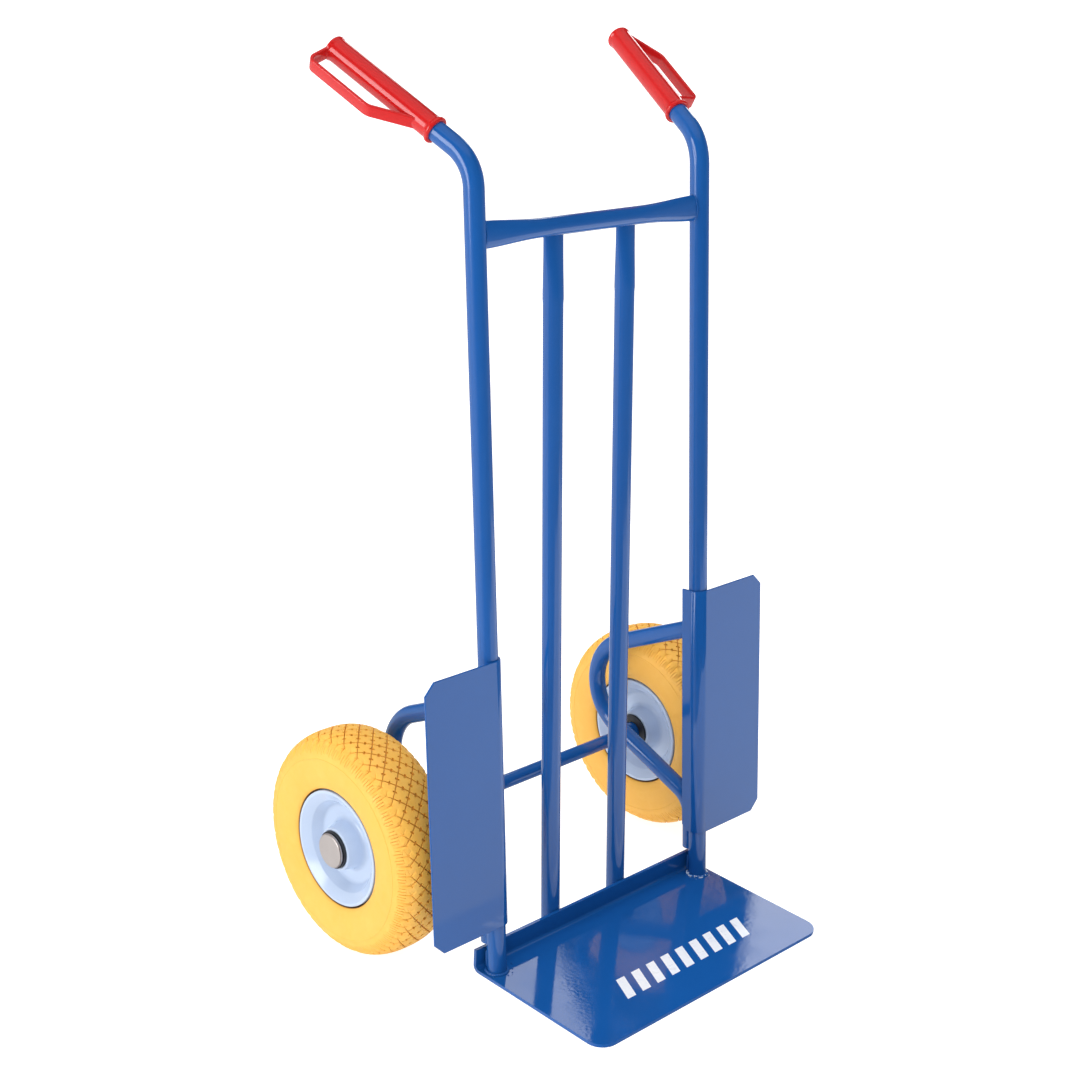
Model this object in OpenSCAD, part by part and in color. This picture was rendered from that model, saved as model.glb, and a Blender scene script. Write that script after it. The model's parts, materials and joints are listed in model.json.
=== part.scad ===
// Two-wheeled hand truck.
// +Z is up, the toe plate points towards -Y and the handles towards +Y. The origin is on the floor,
// under the middle of the whole truck.

/* [Frame] */
// Distance between the centre lines of the two uprights
upright_gap = 334; // [320:1:350]
// Outer diameter of the uprights and of the centre tubes
tube_d = 22; // [20:0.5:23]
// Outer diameter of the crossbar
crossbar_d = 20; // [18:0.5:21]
// Wall thickness of every tube
tube_wall = 1.5; // [1:0.1:2]
// Angle that the frame leans back from vertical
lean = 5; // [4:0.5:6]
// Height of the crossbar, measured along the uprights
crossbar_h = 817; // [780:1:830]
// Distance between the centre lines of the two centre tubes
centre_gap = 108; // [90:1:130]

/* [Handles] */
// Length of the straight part of an upright
upright_len = 864; // [860:1:900]
// Bend radius of a handle, at the centre line
handle_bend_r = 49; // [40:1:60]
// Angle that a handle bends back
handle_bend = 57; // [45:1:65]
// Angle that a handle turns outwards
handle_splay = 14; // [0:1:20]
// Bare tube between a handle's bend and its grip
handle_neck = 24; // [18:1:40]

/* [Grips] */
// Length of a grip
grip_len = 149; // [130:1:160]
// Outer diameter of a grip's barrel
grip_d = 25.4; // [25:0.1:28]
// Distance from a grip's axis to the outer face of its knuckle guard
band_reach = 38; // [34:1:46]
// Width of the knuckle guard's band
band_w = 14; // [10:1:18]
// Thickness of the knuckle guard's band
band_t = 4; // [3:0.5:5]
// Angle that the left grip's knuckle guard drops below level
left_band_drop = 24; // [0:1:30]
// Angle that the right grip's knuckle guard drops below level
right_band_drop = 6; // [0:1:30]
// Distance from the right grip's lower end to its knuckle guard
right_band_start = 19.5; // [0:0.5:25]

/* [Toe plate] */
// Width of the toe plate
toe_w = 368; // [360:1:400]
// Distance from the uprights' foot to the toe plate's front edge
toe_front = 180; // [150:1:220]
// Distance from the uprights' foot to the rear face of the flange
toe_rear = 21; // [20:0.5:24]
// Height of the flange
toe_flange_h = 27.5; // [24:0.5:40]
// Thickness of the toe plate's sheet
toe_t = 4; // [3:0.5:4]
// Radius of the two front corners
toe_corner_r = 21; // [10:1:40]

/* [Wheel guards] */
// Thickness of a guard's sheet
guard_t = 2.5; // [2:0.1:3]
// Height of a guard's lower edge, along the upright
guard_low = 63; // [55:1:80]
// Length of a guard along the upright
guard_len = 309; // [250:1:330]
// Distance from the truck's middle to a guard's outer edge
guard_reach = 266; // [240:1:280]
// Depth of a guard's flange behind the upright's centre line
guard_flange = 13; // [8:1:20]
// Size of the cuts across a guard's outer corners
guard_cut = 13; // [4:1:20]

/* [Wheel brackets] */
// Outer diameter of a bracket's tube
bracket_d = 21; // [19:0.5:22]
// Height where a bracket leaves the rear of its upright
bracket_top = 323; // [315:1:330]
// Angle that the upper arm falls towards the rear
upper_fall = 26; // [23:1:29]
// Angle that the lower arm rises towards the rear
lower_rise = 21; // [19:1:23]
// Radius of the bracket's rear bend, at the centre line
bracket_bend_r = 62; // [55:1:65]
// Radius of the bracket's foot bend, at the centre line
foot_bend_r = 33; // [28:1:36]

/* [Wheels] */
// Outer diameter of a tyre
tyre_d = 260; // [250:1:262]
// Width of a tyre
tyre_w = 83; // [80:1:85]
// Distance between the middles of the two tyres
track = 480; // [478:1:500]
// Distance from the uprights' foot back to the axle
axle_y = 152; // [148:1:158]
// Diameter of the axle
axle_d = 17; // [17:0.5:17]

/* [Hidden] */
$fn = 72;

frame_blue = "steelblue";
sheet_blue = "royalblue";
rim_paint = "lightsteelblue";
foam_yellow = "gold";
grip_red = "crimson";

LEFT = -1;
RIGHT = 1;
tube_r = tube_d / 2;
bracket_r = bracket_d / 2;
axle_r = axle_d / 2;
tyre_r = tyre_d / 2;
axle_z = tyre_r;
upright_x = upright_gap / 2;
// The origin lies midway between the toe plate's front edge and the rear of the tyres.
middle_y = (axle_y + tyre_r - toe_front) / 2;
big = 2000;

// Toe plate
toe_bend_in = 4;
toe_bend_out = toe_bend_in + toe_t;

// Bent tubes: how far a straight laps over a bend, and how much slimmer the bend is
lap = 0.5;
bend_step = 0.02;

// Flattened tube ends
flat_len = 24;
flat_depth = 11;
flat_width = 26;

// Centre tubes: foot and head of the centre line, as [y, z]
centre_foot = [toe_rear + tube_r, 6];
centre_head = [crossbar_h * sin(lean) + 3, crossbar_h * cos(lean)];

// Wheel bracket: its two arms meet at bracket_corner, and the lower arm lies on the axle.
foot_offset = 10;
foot_end = 38;
bracket_bite = 0.2;
arm_start = [bracket_top * tan(lean), bracket_top];
upper_dir = [cos(upper_fall), -sin(upper_fall)];
lower_dir = [cos(lower_rise), sin(lower_rise)];
over_axle = [axle_y, axle_z]
    + (bracket_r + axle_r - bracket_bite) * [-sin(lower_rise), cos(lower_rise)];
bracket_corner = crossing(arm_start, upper_dir, over_axle, lower_dir);
upright_dir = [sin(lean), cos(lean)];
foot_start = foot_end * upright_dir + foot_offset * [cos(lean), -sin(lean)];
foot_corner = crossing(foot_start, upright_dir, over_axle, lower_dir);
rear_turn = 180 - upper_fall - lower_rise;
foot_turn = 90 - lower_rise - lean;
rear_tangent = bracket_bend_r * tan(rear_turn / 2);
foot_tangent = foot_bend_r * tan(foot_turn / 2);
upper_len = norm(bracket_corner - arm_start) - rear_tangent;
lower_len = norm(bracket_corner - foot_corner) - rear_tangent - foot_tangent;
foot_len = norm(foot_corner - foot_start) - foot_tangent;

// Grip
ring_r = 2.5;
grip_end_t = 4;
tube_in_grip = grip_len - grip_end_t;
band_bend_z = 87;
band_merge_z = 138;

// Wheel, as distances from its middle plane and radii from its axle
hub_half = 38;
hub_tube_r = 22;
hub_bore_r = 20;
disc_t = 2;
band_r = 52.3;
band_half = 20.4;
bead_gap = 0.15;
holder_flange_r = 21.5;
holder_flange_t = 3;
holder_bore_r = 13;
holder_len = 16;
bearing_r = 17.5;
bearing_w = 10;
outer_race_r = 15;
inner_race_r = 10.9;
ball_r = 2.3;
ball_gap = 0.3;
ball_pitch_r = (outer_race_r + inner_race_r) / 2;
ball_count = 11;
washer_r = 12;
washer_t = 3.3;
stop_ring_len = 6;
cap_r = 19.8;
cap_t = 1.2;
cap_skirt = hub_half + 3.5;
cap_crown = cap_skirt + 4;
cap_corner = 1.6;
cap_end_gap = 0.6;
axle_half = track / 2 + cap_crown - cap_t - cap_end_gap;

// Where the line from p along d meets the line from q along e
function crossing(p, d, q, e) =
    p + d * ((q[0] - p[0]) * e[1] - (q[1] - p[1]) * e[0]) / (d[0] * e[1] - d[1] * e[0]);

// Points of the arc of radius r that rounds the corner b between a and c
function corner_arc(a, b, c, r, steps) =
    let (
        u = (a - b) / norm(a - b),
        v = (c - b) / norm(c - b),
        half = acos(u * v) / 2,
        centre = b + (u + v) / norm(u + v) * r / sin(half),
        first = b + u * r / tan(half) - centre,
        last = b + v * r / tan(half) - centre,
        from = atan2(first[1], first[0]),
        turn = atan2(first[0] * last[1] - first[1] * last[0], first * last)
    )
    [for (i = [0:steps]) centre + r * [cos(from + turn * i / steps), sin(from + turn * i / steps)]];

// An open path whose inner corners are rounded to the radii given, one for each point
function rounded(path, radii, steps = 6) = [
    for (i = [0:len(path) - 1])
        each radii[i] > 0
            ? corner_arc(path[i - 1], path[i], path[i + 1], radii[i], steps)
            : [path[i]]
];

// Unit normal to the right of the direction a to b
function side(a, b) = [b[1] - a[1], a[0] - b[0]] / norm(b - a);

// Mitred normal of a path at point i
function mitre(path, i) =
    let (
        n = side(path[max(i - 1, 0)], path[max(i, 1)]),
        m = side(path[min(i, len(path) - 2)], path[min(i + 1, len(path) - 1)])
    )
    (n + m) / (1 + n * m);

// Closed outline of a sheet of thickness t that lies to the right of a path
function sheet(path, t) = concat(
    path,
    [for (i = [len(path) - 1:-1:0]) path[i] + t * mitre(path, i)]
);

// ---- Placing ----

module at_origin() {
    translate([0, -middle_y, 0]) children();
}

// The frame's own axes: +Z runs up the uprights
module leaned() {
    at_origin() rotate([-lean, 0, 0]) children();
}

// Turns an up-pointing tube towards +Y by an angle
module tipped(angle) {
    rotate([-angle, 0, 0]) children();
}

// A right-hand piece, mirrored for the left-hand side
module on_side(s) {
    if (s == LEFT) mirror([1, 0, 0]) children();
    else children();
}

// A wheel's axis runs outwards along +Z here, with the wheel's middle plane at z = 0.
module on_wheel(s) {
    at_origin() on_side(s) translate([track / 2, axle_y, axle_z]) rotate([0, 90, 0]) children();
}

// ---- Tube making ----

// A bend of a round tube, a hair slimmer than its straights so that they lap over its ends
module bend(r, angle, tube) {
    translate([0, r, 0]) rotate([90, 0, -90]) rotate_extrude(angle = angle, $fn = 96)
        translate([r, 0]) circle(tube - bend_step);
}

module straight(tube, length, lap_start = lap, lap_end = lap) {
    translate([0, 0, -lap_start]) cylinder(r = tube, h = length + lap_start + lap_end);
}

module after_bend(r, angle) {
    translate([0, r * (1 - cos(angle)), r * sin(angle)]) tipped(angle) children();
}

module upright_core(r, extra = 0) {
    straight(r, upright_len, 20);
    translate([0, 0, upright_len]) rotate([0, 0, -handle_splay]) {
        bend(handle_bend_r, handle_bend, r);
        after_bend(handle_bend_r, handle_bend)
            straight(r, handle_neck + tube_in_grip, lap, extra);
    }
}

module on_upright(s) {
    leaned() on_side(s) translate([upright_x, 0, 0]) children();
}

// A tube's end pressed flat: round at z = 0, narrow along X at the far end
module flat_end(r, cut) {
    hull() {
        cylinder(r = r - cut, h = 0.02, $fn = 32);
        translate([0, 0, flat_len]) for (y = [-1, 1])
            translate([0, y * (flat_width - flat_depth) / 2, 0])
                cylinder(d = flat_depth - 2 * cut, h = 12, $fn = 32);
    }
}

// ---- Frame ----

module upright(s) {
    color(frame_blue) difference() {
        on_upright(s) difference() {
            upright_core(tube_r);
            upright_core(tube_r - tube_wall, 1);
        }
        translate([-big / 2, -big / 2, -big + toe_t]) cube(big);
    }
}

module left_upright() { upright(LEFT); }
module right_upright() { upright(RIGHT); }

module upright_space(s) {
    on_upright(s) translate([0, 0, -20]) cylinder(r = tube_r, h = upright_len);
}

module crossbar_core(r, cut) {
    straight = upright_x - tube_r - flat_len;
    rotate([0, 90, 0]) cylinder(r = r - cut, h = 2 * straight, center = true);
    for (s = [LEFT, RIGHT]) on_side(s)
        translate([straight, 0, 0]) rotate([0, 90, 0]) rotate([0, 0, 90]) flat_end(r, cut);
}

module crossbar() {
    color(frame_blue) difference() {
        leaned() translate([0, 0, crossbar_h]) difference() {
            crossbar_core(crossbar_d / 2, 0);
            crossbar_core(crossbar_d / 2, tube_wall);
        }
        upright_space(LEFT);
        upright_space(RIGHT);
    }
}

module centre_tube(s) {
    run = centre_head - centre_foot;
    tilt = atan2(run[0], run[1]);
    length = norm(run) - flat_len - crossbar_d / 4;
    color(frame_blue) difference() {
        at_origin() translate([s * centre_gap / 2, centre_foot[0], centre_foot[1]])
            tipped(tilt) difference() {
                union() {
                    cylinder(r = tube_r, h = length);
                    translate([0, 0, length]) rotate([0, 0, 90]) flat_end(tube_r, 0);
                }
                translate([0, 0, -1]) cylinder(r = tube_r - tube_wall, h = length + 1);
                translate([0, 0, length]) rotate([0, 0, 90]) flat_end(tube_r, tube_wall);
            }
        leaned() translate([0, 0, crossbar_h]) rotate([0, 90, 0])
            cylinder(d = crossbar_d, h = upright_gap / 2, center = true);
        leaned() translate([-big / 2, -big / 2, crossbar_h]) cube(big);
    }
}

module left_centre_tube() { centre_tube(LEFT); }
module right_centre_tube() { centre_tube(RIGHT); }

// Side view of the folded toe plate, with x along +Y of the truck and y along +Z
module toe_section() {
    fold_y = toe_rear - toe_bend_out;
    translate([-toe_front, 0]) square([toe_front + fold_y, toe_t]);
    translate([fold_y, toe_bend_out]) intersection() {
        difference() {
            circle(toe_bend_out);
            circle(toe_bend_in);
        }
        translate([0, -toe_bend_out]) square(toe_bend_out);
    }
    translate([toe_rear - toe_t, toe_bend_out]) square([toe_t, toe_flange_h - toe_bend_out]);
}

module corner_cutter(r) {
    difference() {
        translate([-1, -1, -1]) cube([r + 1, r + 1, toe_t + 2]);
        translate([r, r, -2]) cylinder(r = r, h = toe_t + 4);
    }
}

module toe_plate() {
    color(sheet_blue) at_origin() difference() {
        translate([-toe_w / 2, 0, 0]) rotate([90, 0, 90]) linear_extrude(toe_w) toe_section();
        for (s = [LEFT, RIGHT]) on_side(s)
            translate([toe_w / 2, -toe_front, 0]) mirror([1, 0, 0]) corner_cutter(toe_corner_r);
    }
}

// Plan of a guard's sheet round the inner side of an upright at the origin
module guard_section() {
    out_r = tube_r + guard_t;
    translate([0, -out_r]) square([guard_reach - upright_x, guard_t]);
    intersection() {
        difference() {
            circle(out_r);
            circle(tube_r);
        }
        translate([-out_r, -out_r]) square(out_r);
    }
    translate([-out_r, 0]) square([guard_t, guard_flange]);
}

module guard(s) {
    flange_cut = 7;
    color(sheet_blue) on_upright(s) translate([0, 0, guard_low]) difference() {
        linear_extrude(guard_len) guard_section();
        for (z = [0, guard_len])
            translate([guard_reach - upright_x, 0, z]) rotate([0, 45, 0])
                cube([guard_cut * sqrt(2), big, guard_cut * sqrt(2)], center = true);
        translate([0, guard_flange, 0]) rotate([45, 0, 0])
            cube([big, flange_cut * sqrt(2), flange_cut * sqrt(2)], center = true);
    }
}

module left_guard() { guard(LEFT); }
module right_guard() { guard(RIGHT); }

// Follows the bracket from the upright, down round the rear bend and back to the upright's foot
module bracket_core(r) {
    translate([upright_x, arm_start[0], arm_start[1]]) tipped(90 + upper_fall) {
        straight(r, upper_len);
        translate([0, 0, upper_len]) {
            bend(bracket_bend_r, rear_turn, r);
            after_bend(bracket_bend_r, rear_turn) {
                straight(r, lower_len);
                translate([0, 0, lower_len]) rotate([0, 0, 180]) {
                    bend(foot_bend_r, foot_turn, r);
                    after_bend(foot_bend_r, foot_turn) straight(r, foot_len);
                }
            }
        }
    }
}

// A twelve-sided space just wider than an upright, which the bracket's ends are cut back to
module cope_space(s) {
    on_upright(s) rotate([0, 0, 15]) cylinder(r = tube_r / cos(15), h = upright_len, $fn = 12);
}

module bracket(s) {
    color(frame_blue) difference() {
        at_origin() on_side(s) difference() {
            bracket_core(bracket_r);
            bracket_core(bracket_r - tube_wall);
            translate([0, axle_y, axle_z]) rotate([0, 90, 0]) cylinder(r = axle_r, h = big);
        }
        cope_space(s);
    }
}

module left_bracket() { bracket(LEFT); }
module right_bracket() { bracket(RIGHT); }

module axle() {
    color(frame_blue) at_origin() translate([0, axle_y, axle_z]) rotate([0, 90, 0])
        cylinder(r = axle_r, h = 2 * axle_half, center = true);
}

// ---- Grips ----

// Side view of the knuckle guard, with x out from the barrel and y from its square end
module band_outline() {
    outer = [[0, 0], [band_reach, 0], [band_reach, band_bend_z], [0, band_merge_z + 12]];
    inner_x = band_reach - band_t;
    hole = [[0, band_t], [inner_x, band_t], [inner_x, band_bend_z - 2], [0, band_merge_z + 4]];
    difference() {
        polygon(rounded(outer, [0, 9, 16, 0]));
        polygon(rounded(hole, [0, 5, 13, 0]));
    }
}

module grip(s, square_end_far, band_drop, band_start) {
    barrel_r = grip_d / 2;
    color(grip_red) on_upright(s) translate([0, 0, upright_len]) rotate([0, 0, -handle_splay])
        after_bend(handle_bend_r, handle_bend) translate([0, 0, handle_neck]) difference() {
            union() {
                cylinder(r = barrel_r, h = grip_len);
                for (z = [ring_r, grip_len - ring_r])
                    translate([0, 0, z]) rotate_extrude() translate([barrel_r - 0.5, 0])
                        circle(ring_r, $fn = 24);
                translate([0, 0, square_end_far ? grip_len : band_start])
                    mirror([0, 0, square_end_far ? 1 : 0]) rotate([0, 0, band_drop])
                        rotate([90, 0, 0]) intersection() {
                            linear_extrude(band_w, center = true) band_outline();
                            translate([0, 0, -band_w])
                                cube([big, grip_len - band_start, 2 * band_w]);
                        }
            }
            translate([0, 0, -1]) cylinder(r = tube_r, h = tube_in_grip + 1);
        }
}

module left_grip() { grip(LEFT, true, left_band_drop, 0); }
module right_grip() { grip(RIGHT, false, right_band_drop, right_band_start); }

// ---- Wheels ----

// Front surface of a rim disc from the hub collar out to the lip, as [radius, height]
disc_path = rounded(
    [[24, 37], [28.5, 17], [45.5, 17], [53.5, 29], [64.5, 36], [66.5, 33.5]],
    [0, 5, 6, 3, 1.2, 0]
);

module disc() {
    rotate_extrude() polygon(sheet(disc_path, disc_t));
}

module outer_disc(s) { color(rim_paint) on_wheel(s) disc(); }
module inner_disc(s) { color(rim_paint) on_wheel(s) mirror([0, 0, 1]) disc(); }

module rim_band(s) {
    color(rim_paint) on_wheel(s) difference() {
        cylinder(r = band_r, h = 2 * band_half, center = true);
        cylinder(r = band_r - 1.5, h = 3 * band_half, center = true);
    }
}

module hub_tube(s) {
    color(rim_paint) on_wheel(s) difference() {
        cylinder(r = hub_tube_r, h = 2 * hub_half, center = true);
        cylinder(r = hub_bore_r, h = 3 * hub_half, center = true);
    }
}

// Half of the tyre's section: the crown and sidewall are a rounded rectangle, down to the bead.
module tyre_half() {
    wide_r = 97;
    squareness = 2 / 2.6;
    half = tyre_w / 2;
    seat_r = band_r + bead_gap;
    crown = [
        for (i = [0:12]) let (f = 90 * i / 12)
            [wide_r + (tyre_r - wide_r) * pow(cos(f), squareness), half * pow(sin(f), squareness)]
    ];
    bead = [[84, 40.9], [74, 38.6], [68, 36], [66.9, 33.2], [56, 27], [seat_r, 22], [seat_r, 0]];
    polygon(concat(crown, bead));
}

module tyre(s) {
    color(foam_yellow) on_wheel(s) for (m = [0, 1])
        mirror([0, 0, m]) rotate_extrude($fn = 120) tyre_half();
}

// ---- Wheel bearings ----

module holder(s, end) {
    color("black") on_wheel(s) mirror([0, 0, end]) difference() {
        union() {
            translate([0, 0, hub_half]) cylinder(r = holder_flange_r, h = holder_flange_t);
            translate([0, 0, hub_half - holder_len]) cylinder(r = hub_bore_r, h = holder_len);
        }
        translate([0, 0, hub_half - holder_len - 1]) cylinder(r = bearing_r, h = holder_len + 1);
        cylinder(r = holder_bore_r, h = big);
    }
}

// A bearing at each end of the hub
module both_bearings() {
    for (m = [0, 1]) mirror([0, 0, m])
        translate([0, 0, hub_half - bearing_w / 2]) children();
}

module race_groove() {
    rotate_extrude() translate([ball_pitch_r, 0]) circle(ball_r + ball_gap, $fn = 32);
}

module bearing_outer_rings(s) {
    color("silver") on_wheel(s) both_bearings() difference() {
        cylinder(r = bearing_r, h = bearing_w, center = true);
        cylinder(r = outer_race_r, h = 2 * bearing_w, center = true);
        race_groove();
    }
}

module bearing_inner_rings(s) {
    color("silver") on_wheel(s) both_bearings() difference() {
        cylinder(r = inner_race_r, h = bearing_w, center = true);
        cylinder(r = axle_r, h = 2 * bearing_w, center = true);
        race_groove();
    }
}

module bearing_balls(s) {
    color("white") on_wheel(s) both_bearings() for (i = [0:ball_count - 1])
        rotate([0, 0, 360 * i / ball_count]) translate([ball_pitch_r, 0, 0])
            sphere(ball_r, $fn = 24);
}

module on_axle_ring(r, from, to) {
    translate([0, 0, from]) difference() {
        cylinder(r = r, h = to - from);
        translate([0, 0, -1]) cylinder(r = axle_r, h = to - from + 2);
    }
}

module spacer_sleeve(s) {
    end = hub_half - bearing_w;
    color("gray") on_wheel(s) on_axle_ring(inner_race_r, -end, end);
}

module thrust_washer(s) {
    color("silver") on_wheel(s) on_axle_ring(washer_r, hub_half, hub_half + washer_t);
}

module stop_ring(s) {
    color(frame_blue) on_wheel(s) on_axle_ring(washer_r, -hub_half - stop_ring_len, -hub_half);
}

// Domed cap pressed onto the end of the axle
module hub_cap(s) {
    skirt = rounded(
        [[cap_r, cap_skirt], [cap_r, cap_crown - 0.8], [0, cap_crown + 0.2]],
        [0, cap_corner, 0]
    );
    color("lightgray") on_wheel(s) {
        difference() {
            rotate_extrude() polygon(concat(skirt, [[0, cap_skirt]]));
            translate([0, 0, cap_skirt - 1])
                cylinder(r = cap_r - cap_t, h = cap_crown - cap_t - cap_skirt + 0.5);
        }
        on_axle_ring(axle_r + 1.5, cap_skirt, cap_crown - cap_t - 0.5);
    }
}

module left_tyre() { tyre(LEFT); }
module left_outer_disc() { outer_disc(LEFT); }
module left_inner_disc() { inner_disc(LEFT); }
module left_rim_band() { rim_band(LEFT); }
module left_hub_tube() { hub_tube(LEFT); }
module left_outer_bearing_holder() { holder(LEFT, 0); }
module left_inner_bearing_holder() { holder(LEFT, 1); }
module left_bearing_outer_rings() { bearing_outer_rings(LEFT); }
module left_bearing_balls() { bearing_balls(LEFT); }
module left_bearing_inner_rings() { bearing_inner_rings(LEFT); }
module left_spacer_sleeve() { spacer_sleeve(LEFT); }
module left_thrust_washer() { thrust_washer(LEFT); }
module left_stop_ring() { stop_ring(LEFT); }
module left_hub_cap() { hub_cap(LEFT); }

module right_tyre() { tyre(RIGHT); }
module right_outer_disc() { outer_disc(RIGHT); }
module right_inner_disc() { inner_disc(RIGHT); }
module right_rim_band() { rim_band(RIGHT); }
module right_hub_tube() { hub_tube(RIGHT); }
module right_outer_bearing_holder() { holder(RIGHT, 0); }
module right_inner_bearing_holder() { holder(RIGHT, 1); }
module right_bearing_outer_rings() { bearing_outer_rings(RIGHT); }
module right_bearing_balls() { bearing_balls(RIGHT); }
module right_bearing_inner_rings() { bearing_inner_rings(RIGHT); }
module right_spacer_sleeve() { spacer_sleeve(RIGHT); }
module right_thrust_washer() { thrust_washer(RIGHT); }
module right_stop_ring() { stop_ring(RIGHT); }
module right_hub_cap() { hub_cap(RIGHT); }

left_upright();
right_upright();
crossbar();
left_centre_tube();
right_centre_tube();
toe_plate();
left_guard();
right_guard();
left_bracket();
right_bracket();
axle();
left_grip();
right_grip();
left_tyre();
left_outer_disc();
left_inner_disc();
left_rim_band();
left_hub_tube();
left_outer_bearing_holder();
left_inner_bearing_holder();
left_bearing_outer_rings();
left_bearing_balls();
left_bearing_inner_rings();
left_spacer_sleeve();
left_thrust_washer();
left_stop_ring();
left_hub_cap();
right_tyre();
right_outer_disc();
right_inner_disc();
right_rim_band();
right_hub_tube();
right_outer_bearing_holder();
right_inner_bearing_holder();
right_bearing_outer_rings();
right_bearing_balls();
right_bearing_inner_rings();
right_spacer_sleeve();
right_thrust_washer();
right_stop_ring();
right_hub_cap();
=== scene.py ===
"""Studio picture of the two-wheeled hand truck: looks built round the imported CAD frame."""
import json
import math
import random

import bpy
import numpy as np
from mathutils import Matrix, Quaternion, Vector


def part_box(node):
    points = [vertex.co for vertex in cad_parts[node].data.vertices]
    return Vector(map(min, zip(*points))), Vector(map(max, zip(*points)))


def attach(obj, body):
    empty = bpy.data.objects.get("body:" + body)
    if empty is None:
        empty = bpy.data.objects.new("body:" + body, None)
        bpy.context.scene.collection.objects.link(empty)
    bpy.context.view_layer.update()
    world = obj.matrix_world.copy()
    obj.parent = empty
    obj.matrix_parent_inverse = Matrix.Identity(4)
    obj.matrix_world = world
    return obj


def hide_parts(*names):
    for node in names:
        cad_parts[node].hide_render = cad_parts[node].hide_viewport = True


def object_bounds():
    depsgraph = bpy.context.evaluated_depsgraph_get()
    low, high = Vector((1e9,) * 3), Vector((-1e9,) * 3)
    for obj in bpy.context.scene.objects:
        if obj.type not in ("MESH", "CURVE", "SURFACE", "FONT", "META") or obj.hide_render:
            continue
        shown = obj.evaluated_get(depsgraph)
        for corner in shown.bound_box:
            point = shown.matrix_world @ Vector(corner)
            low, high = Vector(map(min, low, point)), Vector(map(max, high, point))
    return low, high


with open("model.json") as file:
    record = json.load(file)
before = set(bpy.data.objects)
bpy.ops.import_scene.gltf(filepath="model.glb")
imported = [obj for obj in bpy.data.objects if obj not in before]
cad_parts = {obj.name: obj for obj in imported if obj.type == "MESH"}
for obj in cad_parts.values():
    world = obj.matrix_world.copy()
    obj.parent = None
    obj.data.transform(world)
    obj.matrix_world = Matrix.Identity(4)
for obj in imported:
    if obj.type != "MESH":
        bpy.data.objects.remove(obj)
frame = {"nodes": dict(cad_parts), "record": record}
cad_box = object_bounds()
MM = 0.001

# ---- The frame's own geometry, in millimetres ----

LEAN = math.radians(5)
TUBE_R = 11.0
BRACKET_R = 10.5
UPRIGHT_LEN = 864
BEND_R = 49
BEND = math.radians(57)
SPLAY = math.radians(14)
NECK = 24
GRIP_LEN = 149
BAND_DROP = {"left": math.radians(24), "right": math.radians(6)}
RIGHT_BAND_START = 19.5
TOE_REAR = 21
TOE_T = 4
UPPER_FALL = math.radians(26)
BRACKET_TOP = 323
CROSSBAR_UP = 817

plate_lo, plate_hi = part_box("toe_plate")
axle_lo, axle_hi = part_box("axle")
FOOT_Y = plate_hi.y / MM - TOE_REAR
UPRIGHT_X = 167.0
AXLE_Y = (axle_lo.y + axle_hi.y) / 2 / MM
AXLE_Z = (axle_lo.z + axle_hi.z) / 2 / MM
SIDES = {"left": -1, "right": 1}
wheel_x = {s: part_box(f"{s}_tyre") for s in SIDES}
WHEEL_X = {s: (lo.x + hi.x) / 2 / MM for s, (lo, hi) in wheel_x.items()}

LEANED = Matrix.Translation((0, FOOT_Y, 0)) @ Matrix.Rotation(-LEAN, 4, "X")


# ---- Small helpers ----

def add_piece(name, verts, faces, body, material, replaced=(), sharp=35):
    """Makes a mesh from millimetre vertices, smooth up to the sharp angle, and parents it to its body,
    hiding the CAD nodes it replaces.
    """
    mesh = bpy.data.meshes.new(name)
    scaled = (np.asarray(verts, dtype=float) * MM).tolist()
    mesh.from_pydata(scaled, [], [tuple(int(i) for i in f) for f in faces])
    mesh.validate()
    mesh.update()
    mesh.shade_smooth()
    mesh.set_sharp_from_angle(angle=math.radians(sharp))
    piece = bpy.data.objects.new(name, mesh)
    bpy.context.scene.collection.objects.link(piece)
    mesh.materials.append(material)
    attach(piece, body)
    if replaced:
        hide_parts(*replaced)
    return piece


def ring_faces(rings, columns, closed_rings=False, start=0):
    """Quads between consecutive rings of a given number of points."""
    faces = []
    count = rings if closed_rings else rings - 1
    for i in range(count):
        a, b = start + i * columns, start + (i + 1) % rings * columns
        for j in range(columns):
            k = (j + 1) % columns
            faces.append((a + j, a + k, b + k, b + j))
    return faces


def oriented(faces, sign):
    """The same faces, turned inside out where the sign is negative."""
    return faces if sign > 0 else [f[::-1] for f in faces]


def fan(ring, centre):
    """Triangles that close a ring of points with one in its middle, facing back along the rings."""
    return [(centre, ring[(j + 1) % len(ring)], ring[j]) for j in range(len(ring))]


def corner_arc(before, corner, after, radius, steps):
    """Points of the arc that rounds a corner of a path."""
    before, corner, after = Vector(before), Vector(corner), Vector(after)
    u = (before - corner).normalized()
    v = (after - corner).normalized()
    half = math.acos(max(-1, min(1, u.dot(v)))) / 2
    centre = corner + (u + v).normalized() * (radius / math.sin(half))
    first = corner + u * (radius / math.tan(half)) - centre
    last = corner + v * (radius / math.tan(half)) - centre
    turn = first.angle(last)
    arc = []
    for i in range(steps + 1):
        t = i / steps
        a, b = math.sin((1 - t) * turn) / math.sin(turn), math.sin(t * turn) / math.sin(turn)
        arc.append(centre + first * a + last * b)
    return arc


def rounded(path, radii, steps=8):
    """An open path with its corners rounded to the radii given."""
    points = []
    for i, (p, r) in enumerate(zip(path, radii)):
        if r > 0:
            points += corner_arc(path[i - 1], p, path[i + 1], r, steps)
        else:
            points.append(Vector(p))
    return points


# ---- Materials ----

def add_node(tree, kind, values=None, **settings):
    """A new node with its socket values and settings."""
    made = tree.nodes.new(kind)
    for key, value in settings.items():
        setattr(made, key, value)
    for key, value in (values or {}).items():
        made.inputs[key].default_value = value
    return made


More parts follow.
